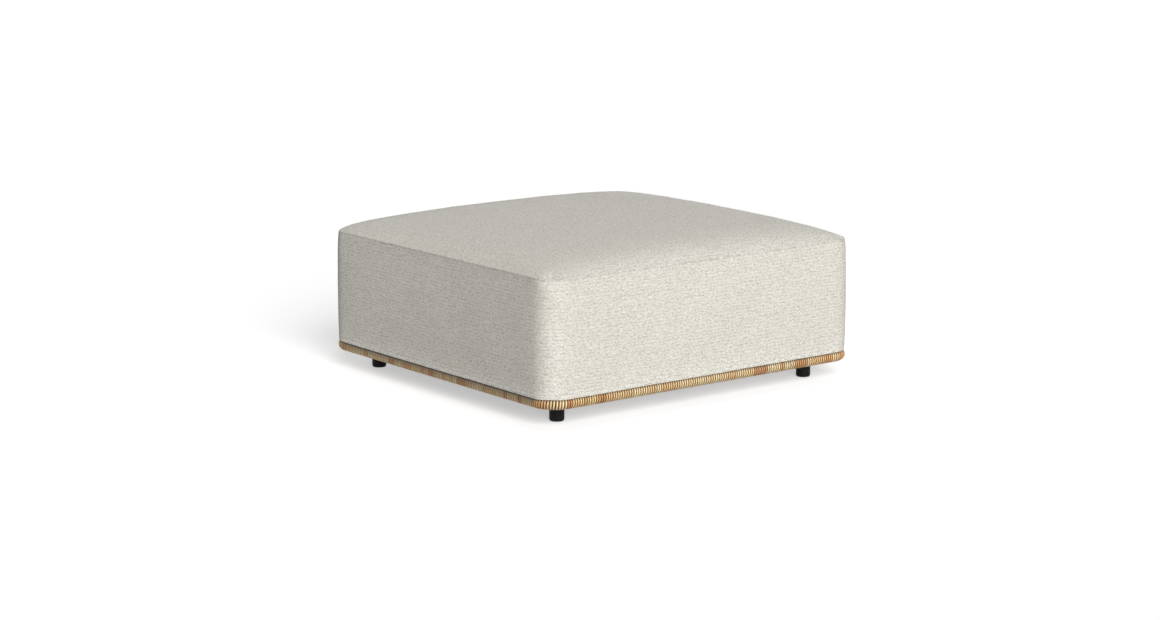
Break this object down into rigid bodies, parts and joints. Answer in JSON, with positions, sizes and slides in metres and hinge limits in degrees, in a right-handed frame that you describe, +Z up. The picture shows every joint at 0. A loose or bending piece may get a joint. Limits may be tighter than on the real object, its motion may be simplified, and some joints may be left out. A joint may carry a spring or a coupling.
{
  "type": "outdoor ottoman footstool",
  "caption": "Low, nearly square footstool: a crowned upholstered block that lifts off a frame with a rattan-wrapped rail and short round legs.",
  "frame": {"origin": "on the floor under the middle of the footstool", "axes": "+Z up, +X along the wider side, the front faces -Y"},
  "size_m": [0.93, 0.9, 0.3942],
  "materials": {
    "fabric": "cream nubby outdoor weave",
    "wadding": "white polyester wadding",
    "foam": "open-cell quick-dry foam",
    "board": "sealed marine plywood",
    "grip_tape": "black hook and loop tape",
    "rattan": "satin rattan strand in straw, tan and orange-brown",
    "frame_metal": "black powder coat",
    "leg_metal": "black powder coat",
    "steel": "stainless",
    "black_plastic": "moulded"
  },
  "bodies": {
    "base_frame": {"rail_tube": "frame_metal", "rail_wrap_1": "rattan", "rail_wrap_2": "rattan", "rail_wrap_3": "rattan", "rail_wrap_4": "rattan", "leg_bar_left": "frame_metal", "leg_bar_right": "frame_metal", "mid_bar": "frame_metal", "side_strut_left": "frame_metal", "side_strut_right": "frame_metal", "seat_slat_1": "frame_metal", "seat_slat_2": "frame_metal", "seat_slat_3": "frame_metal", "seat_slat_4": "frame_metal", "seat_slat_5": "frame_metal", "leg_1": "leg_metal", "leg_2": "leg_metal", "leg_3": "leg_metal", "leg_4": "leg_metal", "leg_insert_1": "steel", "leg_insert_2": "steel", "leg_insert_3": "steel", "leg_insert_4": "steel", "leg_stud_1": "steel", "leg_stud_2": "steel", "leg_stud_3": "steel", "leg_stud_4": "steel", "leg_glide_1": "black_plastic", "leg_glide_2": "black_plastic", "leg_glide_3": "black_plastic", "leg_glide_4": "black_plastic"},
    "cushion_block": {"cover_top_panel": "fabric", "cover_side_band": "fabric", "fibre_wrap": "wadding", "foam_top_layer": "foam", "foam_core": "foam", "base_board": "board", "hem_tape_front": "grip_tape", "hem_tape_right": "grip_tape", "hem_tape_back": "grip_tape", "hem_tape_left": "grip_tape", "locating_peg_1": "black_plastic", "locating_peg_2": "black_plastic", "locating_peg_3": "black_plastic", "locating_peg_4": "black_plastic", "peg_screw_1": "steel", "peg_screw_2": "steel", "peg_screw_3": "steel", "peg_screw_4": "steel"}
  },
  "joints": [
    {"name": "cushion_lift", "type": "slide", "parent": "base_frame", "child": "cushion_block", "axis": [0, 0, 1], "range_m": [0, 0.25]}
  ]
}
